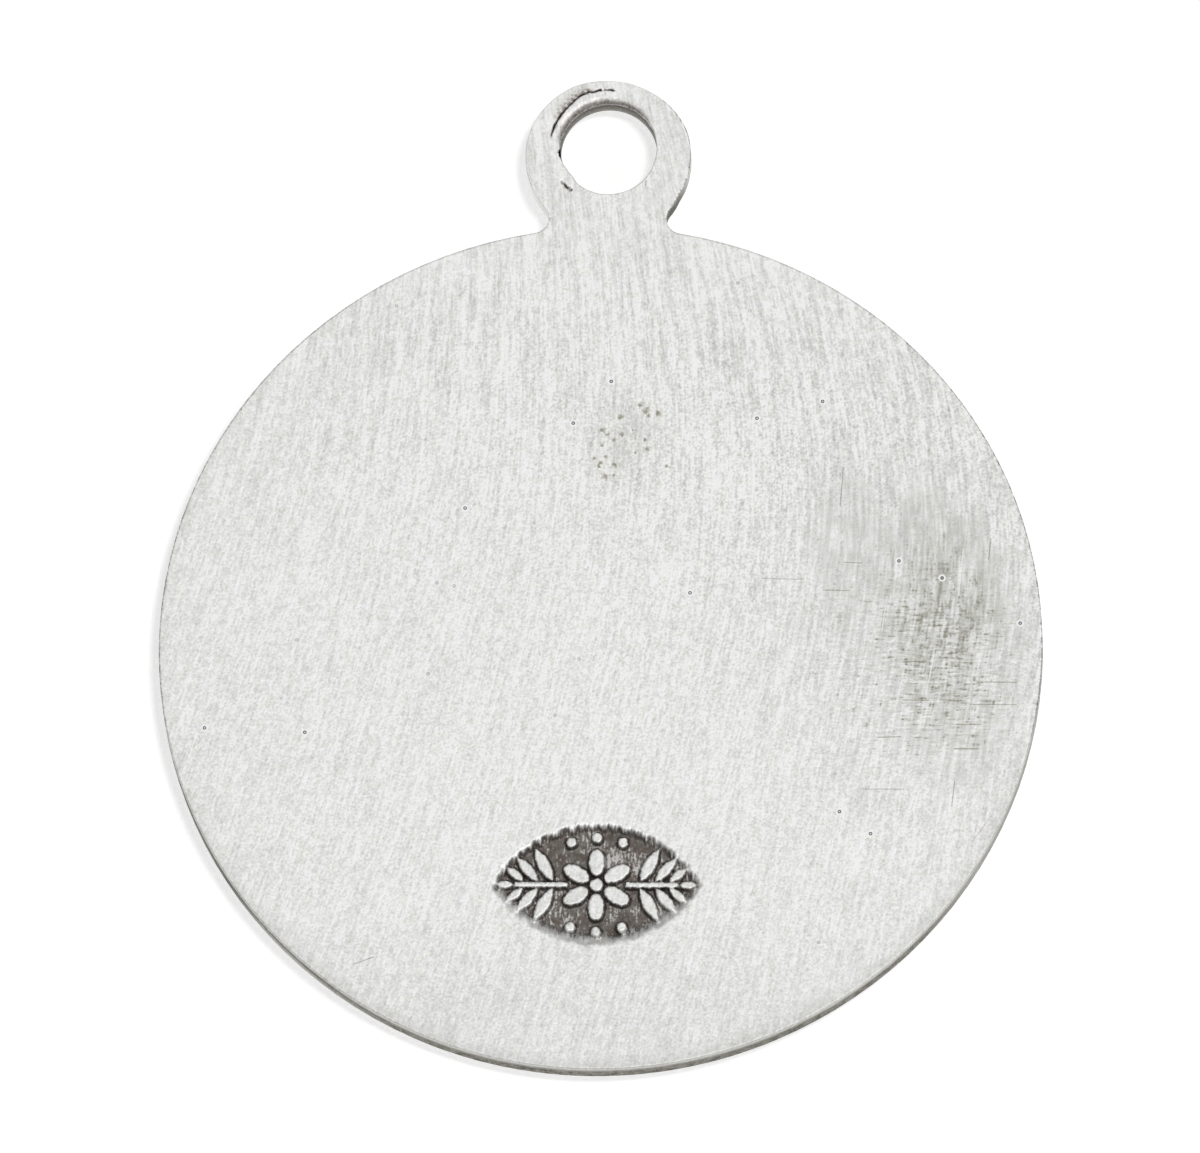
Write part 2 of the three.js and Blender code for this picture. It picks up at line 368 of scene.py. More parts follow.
def edge_distance(x, y, s):
    """Distance from a point of the metal in to the medal's outline. Beside the neck, where the point lies
    between the lines from the hollow arc's middle to those of the disc and loop, it is taken from that arc,
    and elsewhere from the nearer of the disc's and the loop's circles."""
    bulge = loop_bulge(np.arctan2(y - s.loop_y, x))
    x = np.abs(x)
    circles = np.maximum(s.disc_radius - np.hypot(x, y), s.loop_radius + bulge - np.hypot(x, y - s.loop_y))
    dx, dy = x - s.fillet_x, y - s.fillet_y
    above_disc_line = -s.fillet_x * dy + s.fillet_y * dx < 0
    below_loop_line = -s.fillet_x * dy - (s.loop_y - s.fillet_y) * dx > 0
    hollow = np.hypot(dx, dy) - s.neck_fillet
    return np.where(above_disc_line & below_loop_line, hollow, circles)


def rounded(distance, radius, height):
    """Drop of a rounded edge: a quarter ellipse from its full height at the edge to none at radius."""
    t = np.clip((radius - distance) / radius, 0, 1)
    return height * (1 - np.sqrt(1 - t * t))


def leaf_distance(u, v, length, width):
    """Distance out of a pointed oval that starts at the origin and runs along u, negative inside it. Its
    edge is two equal arcs."""
    half = length / 2
    radius = (half**2 + (width / 2) ** 2) / width
    return np.hypot(u - half, np.abs(v) + radius - width / 2) - radius


def petal_distance(u, v, length, width):
    """Distance out of an ellipse, near enough close to its edge, negative inside it."""
    a, b = length / 2, width / 2
    k = np.hypot(u / a, v / b) + TINY
    return k * (k - 1) / (np.hypot(u / a**2, v / b**2) + TINY)


def ornament_distance(u, v, m):
    """Distance out of the raised forms of the ornament, negative inside them. u and v start at its middle.
    The rosette folds its angle into one petal, and sprigs and beads fold into the upper right quarter."""
    ring = np.hypot(u, v)
    turn = 2 * math.pi / m.petal_count
    fold = np.mod(np.arctan2(v, u) - math.pi / 2 + turn / 2, turn) - turn / 2
    along, across = ring * np.cos(fold) - m.petal_ring, ring * np.sin(fold)
    petals = petal_distance(along, across, m.petal_length, m.petal_width)
    forms = [petals, ring - m.rosette_bead]
    u, v = np.abs(u), np.abs(v)
    forms.append(np.maximum(v - m.stem_width / 2, np.maximum(m.stem_start - u, u - m.stem_end)))
    forms.append(leaf_distance(u - TIP_LEAF["along"], v, TIP_LEAF["length"], TIP_LEAF["width"]))
    for leaf in LEAF_PAIRS:
        cos, sin = math.cos(math.radians(leaf["lean"])), math.sin(math.radians(leaf["lean"]))
        du, dv = u - leaf["along"], v - m.stem_width / 2 - m.leaf_gap
        forms.append(leaf_distance(cos * du + sin * dv, cos * dv - sin * du, leaf["length"], leaf["width"]))
    for place in BEAD_PLACES:
        forms.append(np.hypot(u - place["along"], v - place["up"]) - m.bead)
    return np.minimum.reduce(forms)


def mark_relief(x, y, s):
    """The stamped ornament as three measures: how far the back is sunk, from 0 to 1, how dark a corner is,
    and how thick the tarnish lies. The oval's edge is worn ragged, and its lower side slopes more. A
    corner's darkness is dark tarnish with painted shadow: corners are darkest at the lower left of a raised
    form, by the slope of the distance to it."""
    m = s.mark
    u, v = x, y - m.y
    oval = leaf_distance(u + m.half_length, v, 2 * m.half_length, 2 * m.half_height)
    ragged = 0.035 * ripple(x, y, 0.3, 3) + 0.022 * ripple(3 * x, y, 0.28, 4)
    low = smooth(-v, -0.5, 1.2)
    inside = smooth(-(oval + ragged), 0, 0.24 + 0.14 * low)
    uneven = 0.011 * ripple(x, y, 0.2, 5) + 0.008 * ripple(x, y, 0.09, 14)
    forms = ornament_distance(u, v, m) + uneven
    step = 0.01
    slope_x = ornament_distance(u + step, v, m) - ornament_distance(u - step, v, m)
    slope_y = ornament_distance(u, v + step, m) - ornament_distance(u, v - step, m)
    # How far a point faces the lower left of a raised form, the side where shadow is painted
    shadow_side = np.clip(-(0.45 * slope_x + 0.9 * slope_y) / (2 * step), -1, 1)
    open_floor = smooth(forms, 0, m.side_run)
    # A corner's darkness: dark tarnish at the foot of a raised form, with painted shadow at its lower left
    foot = np.exp(-np.maximum(forms - 0.6 * m.side_run, 0) / (0.026 + 0.022 * shadow_side))
    corner = foot * smooth(forms, 0, 0.05) * inside * (0.45 + 0.55 * shadow_side)
    coat = smooth(-(oval + 1.6 * ragged), -0.06, 0.2 + 0.3 * low)
    return inside * open_floor, corner, coat * (0.14 + 0.86 * smooth(forms, -0.015, 0.045))


# The ragged crack round the top of the eye and the short one at its lower left, seen from the eye's middle:
# direction in degrees, distance and half width in millimetres
CRACKS = (
    (
        (83, 1.525, 0.000), (86, 1.530, 0.012), (91, 1.545, 0.010), (95, 1.555, 0.011),
        (96.5, 1.555, 0.000), (98, 1.555, 0.019), (104, 1.545, 0.017), (110, 1.570, 0.014),
        (118, 1.563, 0.014), (131, 1.510, 0.015), (143, 1.490, 0.016), (156, 1.486, 0.021),
        (162, 1.478, 0.018), (173, 1.476, 0.000),
    ),
    ((213, 1.415, 0.000), (217, 1.440, 0.013), (224, 1.448, 0.017), (230, 1.420, 0.017), (234, 1.370, 0.000)),
)

# Dark line along the eye's edge on its left: direction in degrees, and its width in millimetres
EYE_LINE = ((158, 0), (165, 0.02), (179, 0.03), (183, 0.075), (189, 0.06), (194, 0.022), (203, 0))


def eye_edge(turn, s):
    """Distance of the eye's edge from its middle, on the back: a circle with a short straight place at its
    lower left, and slightly uneven."""
    off = np.mod(turn, 2 * np.pi) - math.radians(216.5)
    flat = 0.963 * s.eye_radius / np.cos(np.clip(off, -1, 1))
    return np.minimum(s.eye_radius, flat) + 0.007 * ripple(np.cos(turn), np.sin(turn), 0.3, 8)


def loop_wear(x, y, s):
    """Wear round the eye as the drop of the surface, the dirt in it and the brown tarnish, both of which also
    carry painted shade. The top of the eye has a rounded lip with a dark foot, of dirt and of painted shade
    where it turns down, with a band of painted shade over its bead, its left a dark line, and behind them
    runs a ragged crack, whose tarnish spreads outwards in patches."""
    reach = np.hypot(x, y - s.eye_y)
    turn = np.mod(np.arctan2(y - s.eye_y, x), 2 * np.pi)
    degrees = np.degrees(turn)
    from_eye = np.maximum(reach - eye_edge(turn, s), 0)
    ragged, fine = ripple(x, y, 0.16, 6), ripple(x, y, 0.07, 7)
    lip = smooth(degrees, 12, 60) * smooth(-degrees, -188, -150)
    bead = lip * smooth(degrees, 65, 105)
    round_over = 0.018 + 0.12 * lip + 0.07 * bead
    drop = rounded(from_eye, round_over, 0.018 + 0.09 * lip + 0.045 * bead)
    # Dirt at the lip's foot, darker towards the eye, with painted shade where the lip turns down into it
    dirt_and_shade = 0.45 * lip * smooth(-from_eye + 0.02 * ragged + 0.014 * fine, -0.1, 0.01)
    line = np.interp(degrees, *np.array(EYE_LINE).T)
    in_line = smooth(line - from_eye + 0.006 * fine, 0, 0.02) * smooth(line, 0.004, 0.02)
    drop = drop + 2.5 * line * in_line
    dirt_and_shade = np.maximum(dirt_and_shade, in_line)
    rust_and_shade = np.zeros_like(dirt_and_shade)
    for crack in CRACKS:
        bearing, distance, half_width = np.array(crack).T
        width = np.interp(degrees, bearing, half_width, 0, 0)
        out = reach - np.interp(degrees, bearing, distance) - 0.010 * ragged - 0.006 * fine
        groove = np.exp(-((out / np.maximum(width, 0.004)) ** 2)) * smooth(width, 0.003, 0.012)
        drop = drop + 4.5 * width * groove
        dirt_and_shade = np.maximum(dirt_and_shade, 0.8 * groove)
        halo = np.exp(-np.where(out > 0, out / 0.05, -out / 0.022)) * smooth(width, 0.003, 0.012)
        rust_and_shade = np.maximum(rust_and_shade, halo * (0.72 + 0.2 * ragged))
    bearing, distance, _ = np.array(CRACKS[0]).T
    out = reach - np.interp(degrees, bearing, distance)
    patches = 0.72 + 0.3 * ripple(x, y, 0.12, 12) + 0.15 * fine
    spread = smooth(degrees, 97, 112) * smooth(-degrees, -164, -138)
    rust_and_shade = np.maximum(rust_and_shade, patches * spread * smooth(out, -0.01, 0.015) * np.exp(-np.maximum(out, 0) / 0.16))
    # Painted shade: a band over the lip, strongest on its bead, carried with the brown tarnish
    film = smooth(-from_eye + 0.02 * ragged, -0.26, -0.04) * (0.5 * bead + 0.46 * lip * (1 - bead))
    rust_and_shade = np.maximum(rust_and_shade, film)
    return drop, np.clip(dirt_and_shade, 0, 1), np.clip(rust_and_shade, 0, 1)


def back_surface(x, y, s):
    """Height of the back, and its measures for the material: corner and coat of the ornament, the corner's
    darkness with painted shadow, dirt and brown tarnish of the loop, both with painted shade on the lip, and
    the distance from the edge in millimetres, up to 1."""
    sunk, corner, coat = mark_relief(x, y, s)
    drop, dirt_and_shade, rust_and_shade = loop_wear(x, y, s)
    on_loop = y > s.disc_radius
    in_from_edge = np.maximum(edge_distance(x, y, s), 0)
    worn = s.back_edge * (1 - 0.65 * smooth(y, s.disc_radius, s.disc_radius + 0.5))
    edge = rounded(in_from_edge, worn, worn)
    height = s.thickness - edge - np.where(on_loop, drop, 0) - s.mark.depth * sunk
    dirt_and_shade, rust_and_shade = np.where(on_loop, dirt_and_shade, 0), np.where(on_loop, rust_and_shade, 0)
    return height, dict(corner=corner, coat=coat, dirt_and_shade=dirt_and_shade, rust_and_shade=rust_and_shade, edge=np.minimum(in_from_edge, 1))


def rim_height(radius, s):
    """Height of the disc's front: the field, an S up to the rim's crest, and a quarter ellipse outside it."""
    field = s.field_depth * smooth(-radius, -s.field_radius - s.rim_slope, -s.field_radius)
    out = np.clip((radius - s.crest_radius) / s.shoulder_width, 0, 1)
    return field + s.shoulder_height * (1 - np.sqrt(1 - out * out))


def front_height(x, y, s):
    """Height of the front outside the cross: the lower of the disc's and the loop's. The loop's front ends
    in straight sides below the neck's hollow corners, and its foot is buried in the rim."""
    foot_x = s.fillet_x * s.disc_radius / (s.disc_radius + s.neck_fillet)
    in_from_side = np.where(y < s.fillet_y, foot_x - np.abs(x), s.disc_radius)
    in_from_edge = np.minimum(edge_distance(x, y, s), in_from_side)
    in_from_eye = np.hypot(x, y - s.eye_y) - s.eye_radius
    inside = np.maximum(np.minimum(in_from_edge, in_from_eye) - s.trim_step, 0)
    inside = np.where(y < s.crest_radius - s.rim_crest / 2, 0, inside)
    loop = s.loop_setback + rounded(inside, s.loop_rounding, s.shoulder_height - s.loop_setback)
    return np.minimum(rim_height(np.hypot(x, y), s), loop)


def bar_reach(way, width, up, down):
    """How far a ray goes, from inside an upright bar, to the bar's edge."""
    across = width / np.maximum(np.abs(way[:, 0]), TINY)
    along = np.where(way[:, 1] > 0, up, down) / np.maximum(np.abs(way[:, 1]), TINY)
    return np.minimum(across, along)


def cross_reach(way, grow, s):
    """How far a ray goes, from the middle of the cross, to the edge of its flat top moved outwards by grow:
    the farther of its two bars."""
    half = s.cross_bar_width / 2 - s.cross_draft + grow
    arm = s.cross_span / 2 - s.cross_draft + grow
    end = s.field_radius - s.cross_clearance - s.cross_draft + grow
    upright = bar_reach(way, half, end - s.cross_bar_height, end + s.cross_bar_height)
    return np.maximum(upright, bar_reach(way, arm, half, half))


def circle_reach(way, start_y, radius):
    """How far a ray goes, from a point on the Y axis, to a circle around the origin."""
    along = way[:, 1] * start_y
    return -along + np.sqrt(radius**2 - start_y**2 + along**2)


def stack(x, y, z):
    return np.stack(np.broadcast_arrays(x, y, z), -1)


def edge_rows(nearest, count):
    """Shares of the way to an edge that close up towards it."""
    return 1 - nearest * (np.linspace(1, 0, count) ** 1.7)


def back_disc(s, ring):
    """The disc's back as a grid of rings: the outline, scaled down to the middle. They are close together
    where the ornament is."""
    m = s.mark
    inner = (-m.y - m.half_height - 0.15) / s.disc_radius
    outer = (math.hypot(m.half_length, m.y) + m.half_height * 0.72) / s.disc_radius
    close = np.linspace(inner, outer, math.ceil((outer - inner) * s.disc_radius / ORNAMENT_STEP))
    share = np.concatenate(
        [np.linspace(0, inner, 7)[:-1], close, np.linspace(outer, 0.985, 7)[1:-1], edge_rows(0.015, 9)]
    )
    x, y = share[:, None] * ring[:, 0], share[:, None] * ring[:, 1]
    height, measures = back_surface(x, y, s)
    return dict(points=stack(x, y, height), material=BACK, **measures)


def between_rings(inner, outer, share):
    """Points on the straight lines between two rings of equally many points."""
    return inner + share[:, None, None] * (outer - inner)


def eye_ring(s, ring, radius):
    """Points of the eye's edge in line with a ring's points, seen from the eye's middle. radius is a number
    or a function of the angle."""
    turn = np.arctan2(ring[:, 1] - s.eye_y, ring[:, 0])
    return arc((0, s.eye_y), radius(turn, s) if callable(radius) else radius, turn)


def back_loop(s, ring):
    """The loop's back as a grid of rings from the eye's worn edge out to the outline."""
    by_eye, by_cracks = np.linspace(0.1, 0.3, 7)[1:], np.linspace(0.3, 0.62, 22)[1:]
    share = np.concatenate(
        [1 - edge_rows(0.1, 7)[::-1], by_eye, by_cracks, np.linspace(0.62, 0.91, 8)[1:-1], edge_rows(0.09, 7)]
    )
    points = between_rings(eye_ring(s, ring, eye_edge), ring, share)
    x, y = points[..., 0], points[..., 1]
    height, measures = back_surface(x, y, s)
    return dict(points=stack(x, y, height), material=BACK, **measures)


def front_disc(s, ring):
    """The disc's front as a grid of rings seen from the cross's middle: its flat top, sloping side, the
    field, the rim and the rounded shoulder out to the outline."""
    middle = np.array([0, s.cross_bar_height])
    way = ring - middle
    full = np.linalg.norm(way, axis=1)
    way = way / full[:, None]
    grow = np.linspace(-0.03, s.cross_draft + 0.03, 9)
    side = np.stack([cross_reach(way, g, s) for g in grow])
    side_height = s.field_depth * smooth(grow, grow[0], grow[-1])
    radii = np.concatenate(
        [
            np.linspace(s.field_radius, s.field_radius + s.rim_slope, 6),
            [s.crest_radius - s.rim_crest / 2, s.crest_radius],
        ]
    )
    rim = np.stack([circle_reach(way, s.cross_bar_height, r) for r in radii])
    field = between_rings(side[-1][:, None], rim[0][:, None], np.linspace(0, 1, 5)[1:-1])[..., 0]
    shoulder = between_rings(rim[-1][:, None], full[:, None], np.linspace(0, 1, 10)[1:] ** 0.7)[..., 0]
    reach = np.concatenate([np.zeros((1, len(ring))), side, field, rim, shoulder])
    x, y = reach * way[:, 0], middle[1] + reach * way[:, 1]
    height = front_height(x, y, s)
    height[0] = 0
    height[1 : 1 + len(grow)] = side_height[:, None]
    return dict(points=stack(x, y, height), material=FRONT)


def front_loop(s, ring):
    """The loop's front as a grid of rings from the eye out to the outline."""
    share = np.concatenate([1 - edge_rows(0.5, 7)[::-1], edge_rows(0.5, 7)[1:]])
    points = between_rings(eye_ring(s, ring, s.eye_radius + s.trim_step), ring, share)
    x, y = points[..., 0], points[..., 1]
    return dict(points=stack(x, y, front_height(x, y, s)), material=FRONT)


# The trimmed wall from the back down to its ledge: how uneven it is, and its share of the height
WALL_PROFILE = ((0, 1), (0.3, 0.9), (1, 0.7), (1, 0.45), (0.6, 0.2), (0.2, 0.04), (0.25, 0), (0, 0))


def edge_wall(s):
    """The trimmed wall as its profile carried round the outline, with the ledge that steps in to the struck
    front as the last row. The wall is slightly uneven between its edges."""
    ring = np.concatenate([run[:-1] for run in outline(s, 0)])
    top = back_surface(ring[:, 0], ring[:, 1], s)[0]
    rows = []
    for k, (uneven, share) in enumerate(WALL_PROFILE):
        inset = s.trim_step if k == len(WALL_PROFILE) - 1 else 0
        flat = np.concatenate([run[:-1] for run in outline(s, inset)])
        if uneven:
            push = 0.008 * uneven * (1 + ripple(ring[:, 0], ring[:, 1] + 7 * share, 0.4, 9 + k))
            flat = flat + push[:, None] * inward(ring)
        rows.append(stack(flat[:, 0], flat[:, 1], s.shoulder_height + share * (top - s.shoulder_height)))
    return dict(points=np.stack(rows), material=EDGE)


def inward(ring):
    """Unit directions square to a closed ring that runs anticlockwise, pointing in."""
    along = np.roll(ring, -1, 0) - np.roll(ring, 1, 0)
    along /= np.linalg.norm(along, axis=1, keepdims=True)
    return np.stack([-along[:, 1], along[:, 0]], -1)


def eye_wall(s, back_ring, front_ring):
    """The eye's wall: rings from its worn edge on the back down to its plain edge on the front."""
    top_ring = eye_ring(s, back_ring, eye_edge)
    top = back_surface(top_ring[:, 0], top_ring[:, 1], s)[0]
    rows = []
    for share, step in ((1, 0), (0.8, 0), (0.5, 0), (0.2, 0), (0, 0), (0, s.trim_step)):
        plain_ring = eye_ring(s, front_ring, s.eye_radius + step)
        flat = plain_ring + smooth(np.float64(share), 0.2, 0.9) * (top_ring - plain_ring)
        rows.append(stack(flat[:, 0], flat[:, 1], s.shoulder_height + share * (top - s.shoulder_height)))
    return dict(points=np.stack(rows), material=BORE)


def quads(rows, columns):
    """Faces between neighbouring points of a grid that closes on itself along its rows."""
    i = np.arange(rows - 1)[:, None] * columns
    j = np.arange(columns)[None, :]
    k = (j + 1) % columns
    return np.stack([i + j, i + columns + j, i + columns + k, i + k], -1).reshape(-1, 4)


MEASURES = ("corner", "coat", "dirt_and_shade", "rust_and_shade", "edge")


def medal_mesh(s):
    """All grids of the medal in one closed mesh, with the material's measures as point attributes."""
    loop_run, disc_run = outline(s, 0)
    front_loop_run, front_disc_run = outline(s, s.trim_step)
    across, front_across = seam(s, 0), seam(s, s.trim_step)
    disc_ring = np.concatenate([disc_run, across])
    loop_ring = np.concatenate([loop_run, across[::-1]])
    front_disc_ring = np.concatenate([front_disc_run, front_across])
    front_loop_ring = np.concatenate([front_loop_run, front_across[::-1]])
    grids = [
        back_disc(s, disc_ring),
        back_loop(s, loop_ring),
        front_disc(s, front_disc_ring),
        front_loop(s, front_loop_ring),
        edge_wall(s),
        eye_wall(s, loop_ring, front_loop_ring),
    ]
    points, faces, materials, start = [], [], [], 0
    measures = {name: [] for name in MEASURES}
    for grid in grids:
        rows, columns = grid["points"].shape[:2]
        points.append(grid["points"].reshape(-1, 3))
        faces.append(quads(rows, columns) + start)
        materials.append(np.full(len(faces[-1]), grid["material"]))
        for name in MEASURES:
            measures[name].append(np.ravel(grid.get(name, np.zeros((rows, columns)))))
        start += rows * columns
    mesh = bpy.data.meshes.new("medal_silver")
    mesh.from_pydata(np.concatenate(points) * MM, [], np.concatenate(faces))
    mesh.polygons.foreach_set("material_index", np.concatenate(materials))
    for name, parts in measures.items():
        mesh.attributes.new(name, "FLOAT", "POINT").data.foreach_set("value", np.concatenate(parts))
    weld(mesh)
    return mesh


def weld(mesh):
    """Joins the grids where they meet and turns all faces outwards."""
    body = bmesh.new()
    body.from_mesh(mesh)
    bmesh.ops.remove_doubles(body, verts=body.verts, dist=WELD_DISTANCE * MM)
    bmesh.ops.recalc_face_normals(body, faces=body.faces)
    body.to_mesh(mesh)
    body.free()
    mesh.shade_smooth()
    mesh.set_sharp_from_angle(angle=math.radians(SHARP_ANGLE))


class Nodes:
    """Adds nodes to a node tree. An input is a number, a colour or another node's output."""

    def __init__(self, tree):
        self.tree = tree
        tree.nodes.clear()

    def add(self, kind, inputs=(), **settings):
        node = self.tree.nodes.new(kind)
        for name, value in settings.items():
            setattr(node, name, value)
        for name, value in dict(inputs).items():
            if isinstance(value, bpy.types.NodeSocket):
                self.tree.links.new(value, node.inputs[name])
            else:
                node.inputs[name].default_value = value
        return node

    def math(self, operation, *values):
        return self.add("ShaderNodeMath", enumerate(values), operation=operation).outputs[0]

    def measure(self, name):
        return self.add("ShaderNodeAttribute", attribute_name=name).outputs["Fac"]

    def remap(self, value, low, high, to_low=0.0, to_high=1.0):
        """A smooth S from to_low, where value is low, to to_high, where it is high."""
        inputs = {"Value": value, "From Min": low, "From Max": high, "To Min": to_low, "To Max": to_high}
        return self.add("ShaderNodeMapRange", inputs, interpolation_type="SMOOTHSTEP").outputs[0]

    def vector(self, operation, *values):
        """A vector worked out from vectors."""
        return self.add("ShaderNodeVectorMath", enumerate(values), operation=operation).outputs[0]

    def measured(self, operation, *values):
        """A number worked out from vectors."""
        return self.add("ShaderNodeVectorMath", enumerate(values), operation=operation).outputs["Value"]

    def noise(self, x, y, z=0.0, detail=2.0):
        place = self.add("ShaderNodeCombineXYZ", {"X": x, "Y": y, "Z": z}).outputs[0]
        inputs = {"Vector": place, "Scale": 1.0, "Detail": detail}
        return self.add("ShaderNodeTexNoise", inputs).outputs[0]

    def mix(self, share, first, second):
        node = self.add("ShaderNodeMix", {"Factor": share}, data_type="RGBA")
        for socket, value in zip(node.inputs[6:8], (first, second)):
            if isinstance(value, bpy.types.NodeSocket):
                self.tree.links.new(value, socket)
            else:
                socket.default_value = (*value, 1)
        return node.outputs[2]

    def clamp(self, value):
        return self.add("ShaderNodeClamp", {"Value": value}).outputs[0]

    def scale(self, vector, amount):
        """A vector or colour times a number."""
        return self.add("ShaderNodeVectorMath", {0: vector, "Scale": amount}, operation="SCALE").outputs[0]


# Roughness of the trimmed and bored walls, and of the struck front
WALL_ROUGHNESS = 0.6
FRONT_ROUGHNESS = 0.35


def new_material(name):
    material = bpy.data.materials.new(name)
    material.use_nodes = True
    return material, Nodes(material.node_tree)


def millimetres(nodes):
    """The point's place in millimetres, as x, y and z."""
    place = nodes.add("ShaderNodeTexCoord").outputs["Object"]
    return nodes.add("ShaderNodeSeparateXYZ", {0: nodes.scale(place, 1 / MM)}).outputs


def stroke_across(nodes, x, y):
    """Place across the brush strokes, which is the same all along each stroke: x, less y times a lean that
    falls off to the right, plus the square of the height above the middle times a bend that grows to the
    right. So strokes lean right going up, less so on the right, and turn upright towards the loop."""
    lean, turn, bend, turn_bend = 0.225, 0.008, 0.018, 0.0014
    slope = nodes.math("SUBTRACT", lean, nodes.math("MULTIPLY", x, turn))
    above = nodes.math("MAXIMUM", y, 0.0)
    curl = nodes.math("MULTIPLY_ADD", x, turn_bend, bend)
    curve = nodes.math("MULTIPLY", nodes.math("MULTIPLY", above, above), curl)
    return nodes.math("ADD", nodes.math("SUBTRACT", x, nodes.math("MULTIPLY", y, slope)), curve)


def principled(nodes, colour, roughness, normal=None):
    """The last two nodes of a metal's material."""
    inputs = {"Base Color": colour, "Roughness": roughness, "Metallic": 1.0}
    if normal is not None:
        inputs["Normal"] = normal
    shader = nodes.add("ShaderNodeBsdfPrincipled", inputs).outputs[0]
    nodes.add("ShaderNodeOutputMaterial", {"Surface": shader})


# Places of small marks on the back, in millimetres from the disc's middle
PINHOLES = (
    (0.16, 6.95), (-0.77, 5.85), (-3.43, 3.61), (3.81, 6.0), (5.44, 6.45), (7.4, 2.28), (8.48, 1.84),
    (2.21, 1.42), (10.44, 0.67), (-9.82, -2.17), (-7.32, -2.27), (6.01, -4.27), (6.79, -4.84),
)
FAINT_PINHOLES = (
    (-0.53, -0.32), (-4.28, -0.73), (-1.1, -1.79), (-7.56, 0.14), (-3.22, 7.82), (-4.1, 1.65),
    (-5.23, 8.91), (3.59, 8.82), (3.28, 9.55), (5.54, -7.67), (-3.67, 1.57), (-3.42, 1.2),
)
# x, y and radius
BROWN_SPOTS = (
    (0.88, 6.33, 0.055), (1.03, 6.15, 0.07), (1.08, 6.24, 0.04), (1.09, 6.07, 0.045), (1.33, 6.12, 0.05),
    (0.41, 6.01, 0.06), (-0.04, 5.67, 0.06), (0.08, 5.55, 0.045), (0.46, 5.54, 0.045), (0.25, 5.41, 0.045),
    (1.06, 5.18, 0.055), (1.03, 5.44, 0.035), (-0.21, 4.94, 0.045), (-0.07, 4.81, 0.05),
    (-0.11, 4.72, 0.04), (0.06, 4.97, 0.04), (0.27, 4.76, 0.05), (0.06, 4.47, 0.07), (0.26, 4.49, 0.04),
    (-0.05, 5.26, 0.035), (1.59, 4.74, 0.04), (0.79, 5.08, 0.03), (0.71, 5.67, 0.03), (-0.04, 6.27, 0.035),
)
# Both ends and the half width of scratches
BRIGHT_SCRATCHES = (
    (3.58, 10.39, 3.70, 9.79, 0.035), (5.93, 8.81, 5.99, 8.49, 0.035), (3.23, 10.0, 3.32, 9.71, 0.03),
    (2.73, 9.39, 2.91, 8.19, 0.03), (-6.98, -6.9, -7.0, -7.12, 0.035), (7.12, 1.35, 7.0, 0.45, 0.022),
    (1.76, 13.35, 1.74, 12.8, 0.03), (1.89, 12.49, 1.92, 12.45, 0.04), (0.52, 12.0, 0.55, 11.98, 0.04),
    (8.3, -0.2, 8.12, -1.2, 0.025), (9.0, 2.6, 8.9, 1.4, 0.022),
)
DARK_SCRATCHES = (
    (-6.01, -8.3, -5.51, -8.12, 0.018), (0.95, 12.23, 0.937, 12.11, 0.02), (0.78, 12.19, 0.96, 12.33, 0.014),
    (7.56, -1.35, 8.2, -1.36, 0.022), (8.45, -1.34, 9.1, -1.37, 0.018), (9.22, -1.46, 10.37, -1.46, 0.016),
    (8.9, -1.98, 9.48, -1.98, 0.022), (8.85, -2.61, 9.42, -2.62, 0.024), (6.93, -2.33, 7.51, -2.31, 0.02),
    (6.03, 2.24, 6.48, 2.22, 0.018), (5.53, 1.51, 6.17, 1.5, 0.018), (4.0, 1.8, 5.0, 1.79, 0.013),
    (7.54, -0.35, 8.11, -0.34, 0.022), (9.59, -0.87, 10.36, -0.88, 0.018), (6.5, -3.68, 7.6, -3.68, 0.013),
    (9.68, 2.87, 9.63, 2.33, 0.02), (8.86, -3.46, 8.8, -4.12, 0.018), (5.92, 3.7, 5.98, 4.7, 0.018),
)
RED_SCRATCH = ((9.31, -5.04, 9.80, -4.35, 0.022),)
# Soft ellipses: middle x and y, half width and half height
STAIN = (8.65, 0.55, 2.5, 5.3)
STAIN_BY_IT = (6.4, 2.6, 1.5, 3.8)
STAIN_ROUND_IT = (7.7, 1.2, 4.2, 5.8)
CROSSED_STROKES = (8.0, -0.9, 5.2, 4.6)
DULL_SIDE = (8.0, 2.0, 7.5, 9.5)
# Painted light over the middle of the back
LIT = (0.5, -1.5, 16, 15)
HAZE = (0.55, 5.4, 1.5, 1.7)


def soft_ellipse(nodes, x, y, ellipse):
    """1 in the middle of an ellipse, out to a tenth of its size, and falling smoothly to 0 at its edge."""
    middle_x, middle_y, half_width, half_height = ellipse
    u = nodes.math("DIVIDE", nodes.math("SUBTRACT", x, middle_x), half_width)
    v = nodes.math("DIVIDE", nodes.math("SUBTRACT", y, middle_y), half_height)
    square = nodes.math("MULTIPLY_ADD", u, u, nodes.math("MULTIPLY", v, v))
    return nodes.remap(nodes.math("SQRT", square), 0.1, 1.0, 1.0, 0.0)


def nearest(nodes, place, points):
    """Distance from the nearest of the points, or that distance as a share of the point's radius."""
    closest = None
    for x, y, *radius in points:
        gap = nodes.measured("DISTANCE", place, (x, y, 0))
        if radius:
            gap = nodes.math("DIVIDE", gap, radius[0])
        closest = gap if closest is None else nodes.math("MINIMUM", closest, gap)
    return closest


